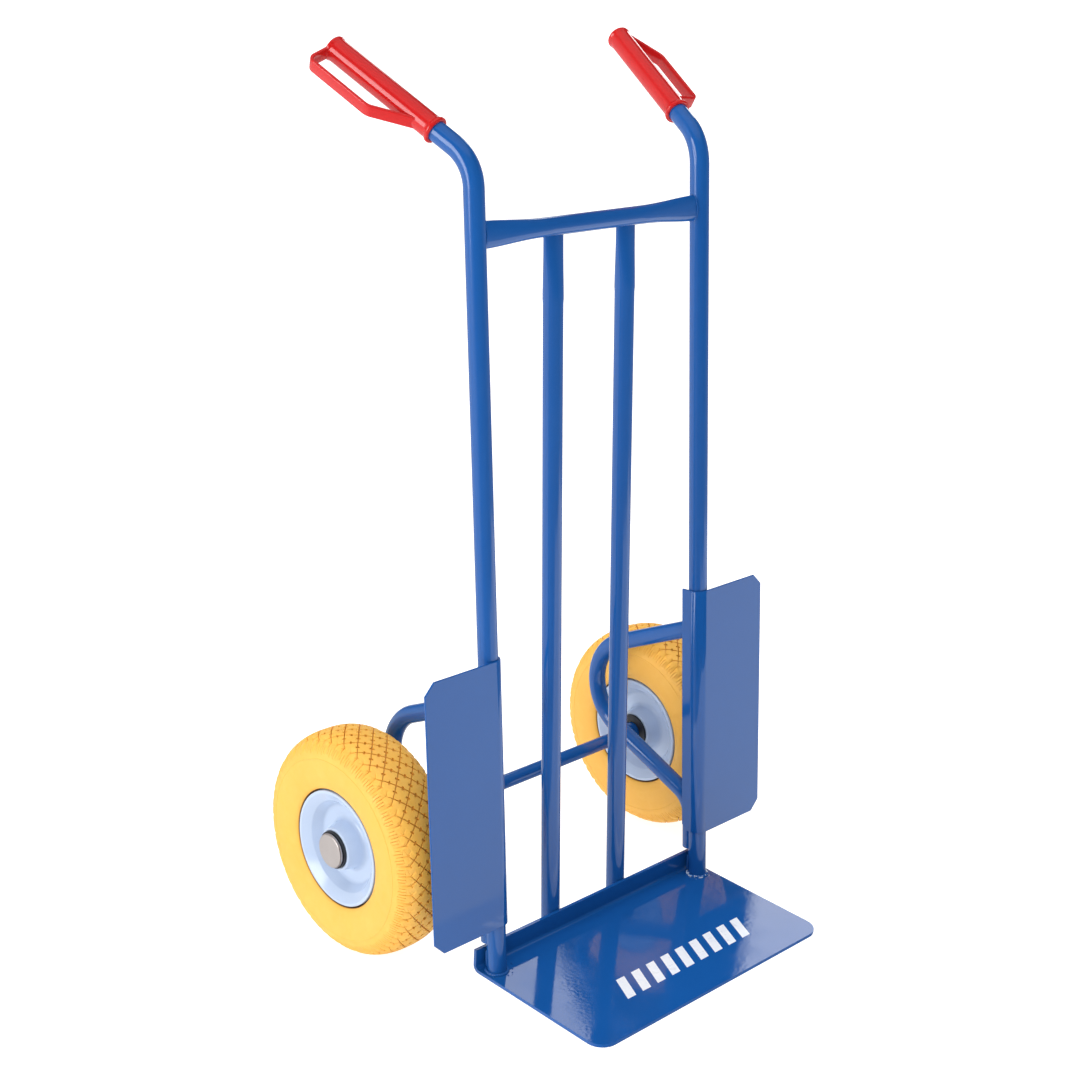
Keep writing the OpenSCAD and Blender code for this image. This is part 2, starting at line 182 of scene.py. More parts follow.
class Finish:
    """A Principled material whose detail is built up from noises in the object's own space."""

    def __init__(self, name, color, roughness, **sockets):
        self.material = bpy.data.materials.new(name)
        self.material.use_nodes = True
        self.tree = self.material.node_tree
        self.shader = self.tree.nodes["Principled BSDF"]
        self.place = add_node(self.tree, "ShaderNodeTexCoord").outputs["Object"]
        self.shader.inputs["Base Color"].default_value = (*color, 1)
        self.shader.inputs["Roughness"].default_value = roughness
        for key, value in sockets.items():
            self.shader.inputs[key.replace("_", " ")].default_value = value
        self.normal = None
        self.color = None

    def noise(self, scale, detail=2.0, distortion=0.0, stretch=None):
        """A noise over the object, with its scale in cells a metre."""
        place = self.place
        if stretch:
            mapping = add_node(self.tree, "ShaderNodeMapping")
            mapping.inputs["Scale"].default_value = stretch
            self.tree.links.new(place, mapping.inputs["Vector"])
            place = mapping.outputs["Vector"]
        made = add_node(
            self.tree, "ShaderNodeTexNoise",
            {"Scale": scale, "Detail": detail, "Distortion": distortion},
        )
        self.tree.links.new(place, made.inputs["Vector"])
        return made.outputs["Fac"]

    def ranged(self, value, low, high, from_low=0.3, from_high=0.7):
        """A value brought from one range to another, without going past its ends."""
        made = add_node(
            self.tree, "ShaderNodeMapRange",
            {"From Min": from_low, "From Max": from_high, "To Min": low, "To Max": high},
        )
        self.tree.links.new(value, made.inputs["Value"])
        return made.outputs["Result"]

    def tint(self, factor, color):
        """Blends a colour over what the base colour holds so far."""
        mix = add_node(self.tree, "ShaderNodeMix", data_type="RGBA")
        base = self.shader.inputs["Base Color"]
        if self.color:
            self.tree.links.new(self.color, mix.inputs[6])
        else:
            mix.inputs[6].default_value = base.default_value
        mix.inputs[7].default_value = (*color, 1)
        self.tree.links.new(factor, mix.inputs[0])
        self.color = mix.outputs[2]
        self.tree.links.new(self.color, base)

    def rough(self, value):
        self.tree.links.new(value, self.shader.inputs["Roughness"])

    def bump(self, value, strength, distance):
        """Adds a bump to those the surface has so far; the distance is in metres."""
        made = add_node(
            self.tree, "ShaderNodeBump", {"Strength": strength, "Distance": distance}
        )
        self.tree.links.new(value, made.inputs["Height"])
        if self.normal:
            self.tree.links.new(self.normal, made.inputs["Normal"])
        self.normal = made.outputs["Normal"]
        self.tree.links.new(self.normal, self.shader.inputs["Normal"])

    def attribute(self, name):
        return add_node(self.tree, "ShaderNodeAttribute", attribute_name=name).outputs["Fac"]


def powder_coat(name, color, deep, pale, roughness):
    """Glossy powder coat: a faint orange peel, cloudy tone and a few paler grains."""
    f = Finish(name, color, roughness, Coat_Weight=0.2, Coat_Roughness=0.06, Coat_IOR=1.5)
    f.tint(f.ranged(f.noise(7, 3), 0, 0.45), deep)
    f.tint(f.ranged(f.noise(700, 2), 0, 0.06, 0.55, 0.75), pale)
    f.rough(f.ranged(f.noise(26, 2), roughness - 0.03, roughness + 0.05))
    f.bump(f.noise(240, 0), 0.06, 0.0004)
    f.bump(f.noise(1500, 0), 0.03, 0.0001)
    return f.material


def foam(name):
    """Polyurethane foam skin: cloudy yellow, with painted shade in the grooves and painted shadow in the
    seat by the rim, and fine pores.
    """
    f = Finish(
        name, (0.90, 0.485, 0.078), 0.5, Subsurface_Weight=0.06,
        Subsurface_Radius=(0.004, 0.002, 0.0007), Subsurface_Scale=0.4,
    )
    f.tint(f.ranged(f.noise(18, 4, 0.4), 0, 0.35), (0.88, 0.42, 0.05))
    f.tint(f.ranged(f.noise(70, 3), 0, 0.18, 0.5, 0.75), (0.98, 0.60, 0.15))
    # Painted shade: deep orange where the groove attribute marks grooves, notches and shoulder lines.
    f.tint(f.ranged(f.attribute("groove"), 0, 0.6, 0.1, 1), (0.50, 0.18, 0.012))
    # Painted shadow: near black in the seat rows, where the tyre meets the rim.
    f.tint(f.ranged(f.attribute("groove"), 0, 0.95, 1.5, 2.5), (0.05, 0.025, 0.01))
    f.rough(f.ranged(f.noise(60, 4, 0.5), 0.42, 0.62))
    f.bump(f.noise(1900, 3), 0.16, 0.0004)
    f.bump(f.noise(240, 2), 0.10, 0.0008)
    return f.material


def rim_enamel(name):
    """Pale blue enamel on the pressed rims."""
    f = Finish(name, (0.47, 0.565, 0.73), 0.16, Coat_Weight=0.3, Coat_Roughness=0.06)
    f.tint(f.ranged(f.noise(14, 2), 0, 0.25), (0.45, 0.545, 0.715))
    f.tint(f.ranged(f.noise(650, 2), 0, 0.06, 0.55, 0.75), (0.75, 0.80, 0.92))
    f.rough(f.ranged(f.noise(30, 2), 0.12, 0.2))
    f.bump(f.noise(260, 0), 0.04, 0.0004)
    return f.material


def moulded_red(name):
    """Glossy red plastic of the grips."""
    f = Finish(
        name, (0.57, 0.014, 0.014), 0.12, Coat_Weight=0.15, Coat_Roughness=0.05,
        Subsurface_Weight=0.06, Subsurface_Radius=(0.004, 0.0006, 0.0004), Subsurface_Scale=0.4,
    )
    f.tint(f.ranged(f.noise(30, 3, 0.8), 0, 0.4), (0.52, 0.010, 0.010))
    f.tint(f.ranged(f.noise(800, 2), 0, 0.10, 0.55, 0.75), (0.9, 0.06, 0.05))
    f.rough(f.ranged(f.noise(60, 2), 0.09, 0.16))
    f.bump(f.noise(200, 0), 0.05, 0.0004)
    f.bump(f.noise(1500, 0), 0.03, 0.0001)
    return f.material


def black_plastic(name):
    """Matt black plastic of the bearing holders."""
    f = Finish(name, (0.012, 0.012, 0.014), 0.42)
    f.tint(f.ranged(f.noise(120, 3), 0, 0.6), (0.03, 0.03, 0.034))
    f.rough(f.ranged(f.noise(150, 3), 0.34, 0.52))
    f.bump(f.noise(1500, 2), 0.2, 0.0002)
    return f.material


def weld_with_painted_glints(name):
    """The same paint over the weld and its spatter, with pale specks painted on as glints."""
    f = Finish(name, (0.010, 0.092, 0.335), 0.2)
    f.tint(f.ranged(f.noise(60, 2), 0, 0.4), (0.02, 0.12, 0.40))
    # Painted highlight: pale bluish specks that stand in for glints on the weld and spatter.
    f.tint(f.ranged(f.noise(260, 2), 0, 0.9, 0.50, 0.58), (0.70, 0.80, 0.92))
    f.rough(f.ranged(f.noise(120, 2), 0.12, 0.3))
    f.bump(f.noise(420, 2), 0.3, 0.0006)
    return f.material


def brushed_metal(name, color, deep, roughness, stretch=(1, 1, 1)):
    """Bare metal with fine marks that the stretch draws out."""
    f = Finish(name, color, roughness, Metallic=1.0)
    f.tint(f.ranged(f.noise(40, 2), 0, 0.5), deep)
    f.rough(f.ranged(f.noise(500, 2, 0, stretch), roughness - 0.05, roughness + 0.08))
    f.bump(f.noise(900, 1, 0, stretch), 0.05, 0.0002)
    return f.material


def printed_white(name):
    """Screen-printed white ink, slightly thin in places."""
    f = Finish(name, (0.86, 0.88, 0.92), 0.3, Coat_Weight=0.3, Coat_Roughness=0.1)
    f.tint(f.ranged(f.noise(160, 5), 0, 0.30, 0.5, 0.8), (0.55, 0.65, 0.85))
    f.rough(f.ranged(f.noise(90, 3), 0.24, 0.4))
    f.bump(f.noise(900, 2), 0.08, 0.0002)
    return f.material


GRAIN_BLUE = (0.05, 0.18, 0.5)
TUBE_PAINT = powder_coat("tube_paint", (0.010, 0.092, 0.335), (0.007, 0.076, 0.29), GRAIN_BLUE, 0.09)
SHEET_PAINT = powder_coat("sheet_paint", (0.008, 0.090, 0.335), (0.006, 0.076, 0.295), GRAIN_BLUE, 0.07)
FOAM = foam("tyre_foam")
ENAMEL = rim_enamel("rim_enamel")
RED = moulded_red("grip_red")
BLACK = black_plastic("holder_black")
STEEL = brushed_metal("ground_steel", (0.60, 0.60, 0.61), (0.42, 0.42, 0.44), 0.3, (1, 6, 6))
CAP_STEEL = brushed_metal("cap_zinc", (0.66, 0.60, 0.57), (0.56, 0.50, 0.47), 0.34)
INK = printed_white("mark_white")
WELD_GLINT_PAINT = weld_with_painted_glints("weld_paint_glints")

SLOT_MATERIAL = {
    "frame_paint": TUBE_PAINT,
    "sheet_paint": SHEET_PAINT,
    "grip_plastic": RED,
    "tyre_foam": FOAM,
    "rim_paint": ENAMEL,
    "holder_plastic": BLACK,
    "bearing_steel": STEEL,
    "cap_steel": CAP_STEEL,
}


def soften_edges(shown):
    """Rounds the sharp edges of a sheet metal node."""
    weld = shown.modifiers.new("joined", "WELD")
    weld.merge_threshold = 0.00001
    bevel = shown.modifiers.new("soft_edges", "BEVEL")
    bevel.width = 0.0006
    bevel.segments = 2
    bevel.limit_method = "ANGLE"
    bevel.angle_limit = math.radians(50)
    bevel.harden_normals = True


def dress_cad():
    """Gives every CAD node its slot's material, and softens the sheet metal."""
    for sub in frame["record"]["subparts"]:
        shown = frame["nodes"][sub["node"]]
        shown.data.materials.clear()
        shown.data.materials.append(SLOT_MATERIAL[sub["material_slot"]])
    for name in ("toe_plate", "left_guard", "right_guard"):
        soften_edges(frame["nodes"][name])


# ---- Tyres ----

# Millimetres and whole numbers, then shares of a block; arc lengths start at the crown's middle
PITCHES = 34
TYRE_R = 129.98
TYRE_HALF = 41.5
CROWN_START_R = 97.0
ROW = 10.4
HALF_PITCH = math.pi * TYRE_R / PITCHES
ROWS = 7
GROOVE_DEPTH = 2.3
GROOVE_IN, GROOVE_OUT = 0.032, 0.050
TICK_IN, TICK_OUT = 0.150, 0.172
TICK_HALF_IN, TICK_HALF_OUT = 0.062, 0.084
SHOULDER_TURN = 31.0
NARROWING = 0.65
# Fine lines on the shoulder: place within a pitch, and the arc lengths where each starts and ends
HAIRLINES = (
    (0.17, 38.0, 45.5), (0.33, 37.5, 47.0), (0.49, 37.0, 44.5), (0.66, 37.5, 46.5), (0.83, 38.5, 45.0),
)


def tyre_section():
    """Half of the tyre's outline, a superellipse and a side wall: (arc length, side, radius)."""
    power = 2 / 2.6
    angles = np.linspace(0, math.pi / 2, 160)
    crown_side = TYRE_HALF * np.sin(angles) ** power
    crown_r = CROWN_START_R + (TYRE_R - CROWN_START_R) * np.cos(angles) ** power
    wall = [(41.5, 94), (41.1, 87), (40.0, 79), (37.9, 72.5), (36.3, 69.9), (34.6, 68.7), (28.5, 68.6),
            (27, 58), (22, 52.6), (12, 52.5), (0, 52.5)]
    side = np.concatenate([crown_side, [p[0] for p in wall]])
    radius = np.concatenate([crown_r, [p[1] for p in wall]])
    steps = np.hypot(np.diff(side), np.diff(radius))
    arc = np.concatenate([[0], np.cumsum(steps)])
    return arc, side, radius


ARC, SIDE, RADIUS = tyre_section()
RIB_ARC = 53.7
RIB_HEIGHT = 0.5
SEAT_ARC = ARC[-6] - 0.01
# Shade value of the seat rows, which the foam turns into a painted shadow in the gap by the rim.
SEAT_PAINTED_SHADOW = 7.0
# How strongly the fine shoulder lines are darkened as painted shade.
HAIRLINE_PAINTED_SHADE = 2.2
SHOULDER_ROWS = (37.2, 38.2, 39.4, 41.0, 42.6, 44.2, 45.6, 46.8)
WALL_ROWS = (
    [49, 51.4, 53.0, RIB_ARC, 54.4, 56] + list(np.arange(58, ARC[-8] - 1, 2.4))
    + list(ARC[-8:-1]) + [ARC[-1] - 1e-4]
)
WALL_COLUMNS = 6


def on_tyre(s, along, depth):
    """Points of the tyre in its own frame: x along the axle, for arc s, circumference and depth."""
    size = np.abs(s)
    side = np.interp(size, ARC, SIDE)
    radius = np.interp(size, ARC, RADIUS)
    step = 0.6
    d_side = np.interp(size + step, ARC, SIDE) - np.interp(size - step, ARC, SIDE)
    d_radius = np.interp(size + step, ARC, RADIUS) - np.interp(size - step, ARC, RADIUS)
    length = np.hypot(d_side, d_radius) + 1e-9
    n_side, n_radius = -d_radius / length, d_side / length
    side = (side - depth * n_side) * np.sign(s)
    radius = radius - depth * n_radius
    turn = along / TYRE_R
    return np.stack([side, radius * np.sin(turn), radius * np.cos(turn)], axis=-1)


def lattice_lines():
    """Where the tread mesh's lines lie across one block, from groove to groove."""
    half = [0, GROOVE_IN, GROOVE_OUT, TICK_IN, TICK_OUT, 0.5 - TICK_HALF_OUT, 0.5 - TICK_HALF_IN]
    return np.array(half + [0.5] + [1 - h for h in half[:0:-1]])


def narrowed(f):
    """The same lines where the grooves have become thin, at the shoulder."""
    wide = [0, GROOVE_IN, GROOVE_OUT, TICK_IN, TICK_OUT, 0.5 - TICK_HALF_OUT, 0.5 - TICK_HALF_IN, 0.5]
    k = NARROWING
    thin = [0, GROOVE_IN * k, GROOVE_OUT * k, TICK_IN * 0.8, TICK_OUT * 0.8,
            0.5 - TICK_HALF_OUT * k, 0.5 - TICK_HALF_IN * k, 0.5]
    return np.sign(f) * np.interp(np.abs(f), wide, thin)


def shoulder_warp(s):
    """How far the tread is sheared outside the shoulder, so that one groove family turns radial."""
    return np.sign(s) * np.maximum(np.abs(s) - SHOULDER_TURN, 0) * HALF_PITCH / ROW


def scallop(size, from_line):
    """How far the shoulder sinks beside the grooves, which leaves each block rounded."""
    at_line = np.maximum(1 - from_line / 0.16, 0) ** 1.4
    between = np.maximum(1 - (0.5 - from_line) / 0.16, 0) ** 1.4
    line_reach = np.interp(size, [26, 31, 40, 47], [0, 1.9, 1.6, 0])
    between_reach = np.interp(size, [26, 30, 36, 43], [0, 1.6, 1.4, 0])
    return np.maximum(line_reach * at_line, between_reach * between)


def tread_marks(pf, qf, size):
    """Depth of the grooves and of the notches in the blocks' sides."""
    long_depth = np.interp(size, [18, 26, 31, 36.5], [GROOVE_DEPTH, 2.1, 1.9, 1.5])
    short_depth = np.interp(size, [18, 26, 31, 35], [GROOVE_DEPTH, 1.9, 1.2, 0.0])
    tiny = 1e-6
    in_long = np.abs(qf) <= GROOVE_IN + tiny
    in_short = np.abs(pf) <= GROOVE_IN + tiny
    mid_p = np.abs(np.abs(pf) - 0.5) <= TICK_HALF_IN + tiny
    mid_q = np.abs(np.abs(qf) - 0.5) <= TICK_HALF_IN + tiny
    tick_long = mid_p & (np.abs(qf) <= TICK_IN + tiny)
    tick_short = mid_q & (np.abs(pf) <= TICK_IN + tiny)
    return np.maximum.reduce([
        long_depth * in_long, short_depth * in_short, short_depth * tick_long, short_depth * tick_short,
    ])


def lattice_faces(count, column):
    """Quads of the slanting grid of tread points, with triangles that even out its two edges."""
    a = (np.arange(count) * column)[:, None] + np.arange(column - 2)[None, :]
    b = ((np.arange(count) + 1) % count * column)[:, None] + np.arange(column - 2)[None, :]
    # Going once round, the next column's line i holds what this column's line i + 1 holds
    quads = np.stack([a, b + 1, b + 2, a + 1], axis=-1).reshape(-1, 4)
    low = np.stack([b[:, :1], b[:, :1] + 1, a[:, :1]], axis=-1).reshape(-1, 3)
    high = np.stack([a[:, -1:] + 1, b[:, -1:] + 2, a[:, -1:] + 2], axis=-1).reshape(-1, 3)
    return [tuple(f) for f in quads] + [tuple(f) for f in low] + [tuple(f) for f in high]


def tread_lattice():
    """The block tread: arc, circumference, depth and painted groove shade of each point, with its faces."""
    lines = lattice_lines()
    n = len(lines)
    count = PITCHES * n
    column = ROWS * n + 1
    # p and q count the two slanting families of grooves; pf and qf run from -0.5 to 0.5 about each
    ip = np.arange(count)[:, None]
    iq = -ip - (ROWS + 1) // 2 * n + np.arange(column)[None, :]
    ip = np.broadcast_to(ip, iq.shape)
    p = ip // n + lines[ip % n]
    q = iq // n + lines[iq % n]
    pf, qf = p - np.round(p), q - np.round(q)
    s = ROW * (p + q) + ROW / 2
    thin = np.clip((np.abs(s) - 12) / 18, 0, 1)
    p_shown = p - pf + (1 - thin) * pf + thin * narrowed(pf)
    q_shown = q - qf + (1 - thin) * qf + thin * narrowed(qf)
    s_shown = ROW * (p_shown + q_shown) + ROW / 2
    edge = (np.arange(column) == 0) | (np.arange(column) == column - 1)
    s_shown[:, edge] = s[:, edge]
    along = HALF_PITCH * (q_shown - p_shown) + shoulder_warp(s_shown)
    size = np.abs(s_shown)
    # The grooves' and notches' depth, which also sets their painted shade.
    mark = tread_marks(pf, qf, size)
    depth = np.maximum(mark, scallop(size, np.abs(qf)))
    rims = (np.arange(count) * column, np.arange(count) * column + column - 1)
    return s_shown, along, depth, mark, lattice_faces(count, column), rims


def zip_rings(inner, inner_at, outer, outer_at, length):
    """Triangles between two closed rings of points that lie at different places round the tyre."""
    order_a = np.argsort(inner_at % length)
    order_b = np.argsort(outer_at % length)
    a, b = inner[order_a], outer[order_b]
    at_a = (inner_at % length)[order_a]
    at_b = (outer_at % length)[order_b]
    ends_a = np.concatenate([at_a[1:], [at_a[0] + length, math.inf]])
    ends_b = np.concatenate([at_b[1:], [at_b[0] + length, math.inf]])
    faces, i, j = [], 0, 0
    while i < len(a) or j < len(b):
        if ends_a[i] <= ends_b[j] and i < len(a):
            faces.append((a[i % len(a)], a[(i + 1) % len(a)], b[j % len(b)]))
            i += 1
        else:
            faces.append((a[i % len(a)], b[(j + 1) % len(b)], b[j % len(b)]))
            j += 1
    return faces


def shoulder_columns():
    """Places across one pitch: evenly spread, with three close ones on each fine line."""
    width = 0.02
    places = {1 - 2.2 * width, 1 - width, 0.0, width, 2.2 * width}
    for at, _, _ in HAIRLINES:
        places |= {round((at + d) % 1, 4) for d in (-width, 0, width)}
    for i in range(16):
        at = i / 16
        if min(abs((at - p + 0.5) % 1 - 0.5) for p in places) > 0.02:
            places.add(at)
    return np.array(sorted(places))


def from_long_line(place):
    """How far each place is from the nearest long radial line, in pitches."""
    return np.abs((place + 0.5) % 1 - 0.5)


def long_line(s, place):
    """Depth of the long radial lines at each place of a row."""
    return np.interp(s, [36.4, 40, 44, 47], [1.5, 1.3, 0.8, 0]) * (from_long_line(place) < 0.015)


def hairline(s, place):
    """How much of a fine line there is at each place of a row, from 0 to 1."""
    amount = np.zeros(len(place))
    for at, start, end in HAIRLINES:
        here = np.abs(place - at) < 0.001
        amount += np.interp(s, [start - 0.8, start, end, end + 0.8], [0, 1, 0.7, 0]) * here
    return amount


def shoulder_rings(sign):
    """The rings of one shoulder: arc, places round the tyre, depth and painted shade of the lines."""
    places = shoulder_columns()
    place = np.tile(places, PITCHES)
    start = shoulder_warp(np.array(sign * ROW * ROWS / 2)) + (HALF_PITCH if sign > 0 else 0)
    around = np.concatenate([(k + places) * 2 * HALF_PITCH for k in range(PITCHES)])
    for row in SHOULDER_ROWS:
        line, fine_line = long_line(row, place), hairline(row, place)
        depth = np.maximum(line, scallop(row, from_long_line(place))) + fine_line
        # Painted shade: the long and fine lines are darkened beyond what their depth shades.
        yield row, around + start, depth, line + HAIRLINE_PAINTED_SHADE * fine_line


def wall_rings():
    """The rings of one side wall, down to the middle of the seat on the rim, the seat rows carrying painted
    shadow.
    """
    around = np.arange(PITCHES * WALL_COLUMNS) / WALL_COLUMNS * 2 * HALF_PITCH
    for row in WALL_ROWS:
        depth = np.full(len(around), -RIB_HEIGHT if row == RIB_ARC else 0.0)
        # Painted shadow: rows past the seat's edge get the seat's shade value.
        yield row, around, depth, np.full(len(around), SEAT_PAINTED_SHADOW if row > SEAT_ARC else 0.0)


def strip_faces(previous, ring):
    """Quads between two closed rings that hold the same places."""
    corners = [previous, np.roll(previous, -1), np.roll(ring, -1), ring]
    return [tuple(f) for f in np.stack(corners, axis=-1)]


def tyre_mesh():
    """Vertices, faces and painted groove shade of a tyre in its own frame, the axle along x."""
    s, along, depth, mark, faces, rims = tread_lattice()
    points, marks = [on_tyre(s, along, depth).reshape(-1, 3)], [mark.reshape(-1)]
    made = s.size
    for sign, previous in ((1, rims[1]), (-1, rims[0])):
        previous_at = along.reshape(-1)[previous]
        for rings in (shoulder_rings(sign), wall_rings()):
            for i, (row, at, sunk, painted_shade) in enumerate(rings):
                ring = np.arange(len(at)) + made
                points.append(on_tyre(np.full(len(at), sign * row), at, sunk))
                marks.append(painted_shade)
                if i == 0:
                    new = zip_rings(previous, previous_at, ring, at, 2 * math.pi * TYRE_R)
                else:
                    new = strip_faces(previous, ring)
                faces += oriented(new, -sign)
                previous, previous_at = ring, at
                made += len(ring)
    return np.concatenate(points), faces, np.concatenate(marks)


def make_tyres():
    """Both tyres, each with its painted groove shade as an attribute for the material."""
    verts, faces, marks = tyre_mesh()
    for side, sign in SIDES.items():
        placed = verts * [sign, 1, 1] + [WHEEL_X[side], AXLE_Y, AXLE_Z]
        tyre = add_piece(f"{side}_tyre_foam", placed, oriented(faces, sign), f"{side}_wheel",
                         FOAM, [f"{side}_tyre"], sharp=32)
        # The groove attribute holds the painted shade of grooves, lines and seat.
        groove = tyre.data.attributes.new("groove", "FLOAT", "POINT")
        groove.data.foreach_set("value", np.clip(marks / GROOVE_DEPTH, 0, 3).astype(np.float32))


# ---- Lathe work: rims, hub caps ----

def lathe(profile, centre, sign, columns=128):
    """Turns a closed or open profile of (radius, distance outwards) round a wheel's axis."""
    verts = []
    for radius, out in profile:
        for j in range(columns):
            a = 2 * math.pi * j / columns
            verts.append((centre[0] + sign * out, centre[1] + radius * math.sin(a),
                          centre[2] + radius * math.cos(a)))
    return verts


def make_rims():
    """The pressed discs on both sides of each wheel, from a radius and distance outline."""
    front = [
        (20.2, 38.0), (23.2, 38.0), (24.6, 36.6), (28.8, 17), (45.5, 17), (53.5, 29), (63.8, 36.4),
        (67.1, 36.4), (67.3, 33.0),
    ]
    radii = [0, 0.9, 1.6, 6, 6, 4, 1.8, 1.3, 0]
    thickness = 2
    path = rounded(front, radii, 8)
    back = [Vector((p.x + 0.2, p.y - thickness)) for p in reversed(path)]
    profile = [(p.x, p.y) for p in path + back]
    columns = 144
    for side, sign in SIDES.items():
        for part, way in (("outer", sign), ("inner", -sign)):
            centre = (WHEEL_X[side], AXLE_Y, AXLE_Z)
            verts = lathe(profile, centre, way, columns)
            faces = ring_faces(len(profile), columns, closed_rings=True)
            add_piece(f"{side}_{part}_rim", verts, oriented(faces, way), f"{side}_wheel",
                      ENAMEL, [f"{side}_{part}_disc"], sharp=42)


def make_caps():
    """The slightly domed caps on the axle's ends."""
    base, top, cap_r = 41.6, 45.68, 19.8
    profile = rounded([(19.0, base), (cap_r, 42.2), (cap_r, 44.9), (0, 45.6)], [0, 0, 1.8, 0], 8)
    columns = 96
    for side, sign in SIDES.items():
        centre = (WHEEL_X[side], AXLE_Y, AXLE_Z)
        verts = lathe([(p.x, p.y) for p in profile[:-1]], centre, sign, columns)
        verts += lathe([(13, 45.45), (6, 45.62)], centre, sign, columns)
        rings = len(profile) + 1
        faces = ring_faces(rings, columns)
        verts += [(centre[0] + sign * out, AXLE_Y, AXLE_Z) for out in (top, base)]
        last = list(range((rings - 1) * columns, rings * columns))
        faces += fan(last[::-1], len(verts) - 2) + fan(list(range(columns)), len(verts) - 1)
        add_piece(f"{side}_domed_cap", verts, oriented(faces, -sign), "frame", CAP_STEEL,
                  [f"{side}_hub_cap"], sharp=50)


# ---- Tubes with pressed ends ----

def stadium(depth, width, n):
    """Outline between a circle and a flattened tube: depth along x, width along y."""
    points = []
    power = 1.0 if abs(depth - width) < 0.01 else 0.82
    for j in range(n):
        a = 2 * math.pi * j / n
        across = math.copysign(abs(math.sin(a)) ** power, math.sin(a))
        points.append((depth / 2 * math.cos(a), width / 2 * across))
    return points


def smoothstep(t):
    t = max(0.0, min(1.0, t))
    return t * t * (3 - 2 * t)


PRESSED_COLUMNS = 48
PRESSED_STEPS = 14
CROSSBAR_D, CROSSBAR_FLAT, CROSSBAR_WIDE, CROSSBAR_FLARE = 20, 11.5, 28.5, 95
CENTRE_D, CENTRE_FLAT, CENTRE_WIDE, CENTRE_FLARE = 22, 12, 26.5, 80


def pressed_tube(stations, matrix):
    """A tube along local z; stations are (z, depth, width)."""
    n = PRESSED_COLUMNS
    verts = []
    for z, depth, width in stations:
        verts += [matrix @ Vector((x, y, z)) for x, y in stadium(depth, width, n)]
    faces = ring_faces(len(stations), n)
    faces.append(tuple(reversed(range(n))))
    faces.append(tuple(len(verts) - n + j for j in range(n)))
    return verts, faces


def pressed_end(end, flare, across, flat, wide, power=1.0):
    """Stations of a tube's last stretch, pressed from round to flat and wide."""
    stations = []
    for i in range(PRESSED_STEPS + 1):
        t = smoothstep(i / PRESSED_STEPS)
        z = end - flare + flare * i / PRESSED_STEPS
        stations.append((z, across + (flat - across) * t, across + (wide - across) * t ** power))
    return stations


def make_crossbar():
    """The crossbar, round in the middle and pressed flat and wide at both ends."""
    lo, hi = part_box("crossbar")
    centre = (lo + hi) / 2 / MM
    end = UPRIGHT_X - 6.5
    half = pressed_end(end, CROSSBAR_FLARE, CROSSBAR_D, CROSSBAR_FLAT, CROSSBAR_WIDE, 1.3)
    both = [(-z, d, w) for z, d, w in reversed(half)] + [(0, CROSSBAR_D, CROSSBAR_D)] + half
    leaned = Matrix.Translation(centre) @ Matrix.Rotation(-LEAN, 4, "X")
    turned = leaned @ Matrix.Rotation(math.pi / 2, 4, "Y") @ Matrix.Rotation(math.pi / 2, 4, "Z")
    verts, faces = pressed_tube(both, turned)
    add_piece("crossbar_tube", verts, faces, "frame", TUBE_PAINT, ["crossbar"])


def make_centre_tubes():
    """The two tubes between crossbar and flange, pressed flat at the top."""
    for side in SIDES:
        lo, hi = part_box(f"{side}_centre_tube")
        x = (lo.x + hi.x) / 2 / MM
        foot = Vector((x, lo.y / MM + TUBE_R, lo.z / MM + 0.8))
        head = Vector((x, hi.y / MM - 7.5, hi.z / MM))
        run = head - foot
        length = run.length
        matrix = Matrix.Translation(foot) @ run.to_track_quat("Z", "X").to_matrix().to_4x4()
        stations = [(3.0, 18.6, 18.6), (0.0, 19.0, 19.0)]
        stations += [(0.0, CENTRE_D, CENTRE_D), (length * 0.5, CENTRE_D, CENTRE_D)]
        stations += pressed_end(length, CENTRE_FLARE, CENTRE_D, CENTRE_FLAT, CENTRE_WIDE)
        verts, faces = pressed_tube(stations, matrix)
        add_piece(f"{side}_centre_tube_pressed", verts, faces, "frame", TUBE_PAINT,
                  [f"{side}_centre_tube"])


# ---- Grips ----

def grip_frame(side):
    """Local frame of a grip: z runs out along its barrel from the bare tube."""
    mirror = Matrix.Diagonal((SIDES[side], 1, 1, 1))
    bend = Matrix.Translation((0, BEND_R * (1 - math.cos(BEND)), BEND_R * math.sin(BEND)))
    return (LEANED @ mirror @ Matrix.Translation((UPRIGHT_X, 0, UPRIGHT_LEN))
            @ Matrix.Rotation(-SPLAY, 4, "Z") @ bend @ Matrix.Rotation(-BEND, 4, "X")
            @ Matrix.Translation((0, 0, NECK)))


def barrel(matrix, columns=64):
    """The grip's barrel: a rolled ring at both ends that the barrel flares into."""
    profile = [(5, 11.06), (0.4, 11.06), (0.0, 11.6), (0.0, 13.2), (0.5, 14.1), (1.4, 14.6), (2.5, 14.75),
               (3.6, 14.6), (4.5, 14.1), (5.2, 13.4), (6.2, 12.95), (8, 12.75), (12, 12.7), (75, 12.65),
               (139, 12.7), (143, 12.8), (144.4, 13.1), (145.4, 13.6), (146.6, 13.85), (147.8, 13.6),
               (148.6, 12.9), (148.95, 11.8), (149.0, 8), (149.0, 3)]
    verts = []
    for z, r in profile:
        for j in range(columns):
            a = 2 * math.pi * j / columns
            verts.append(matrix @ Vector((r * math.cos(a), r * math.sin(a), z)))
    faces = ring_faces(len(profile), columns)
    verts += [matrix @ Vector((0, 0, GRIP_LEN)), matrix @ Vector((0, 0, 5))]
    last = list(range((len(profile) - 1) * columns, len(profile) * columns))
    faces += fan(last[::-1], len(verts) - 2) + fan(list(range(columns)), len(verts) - 1)
    return verts, faces


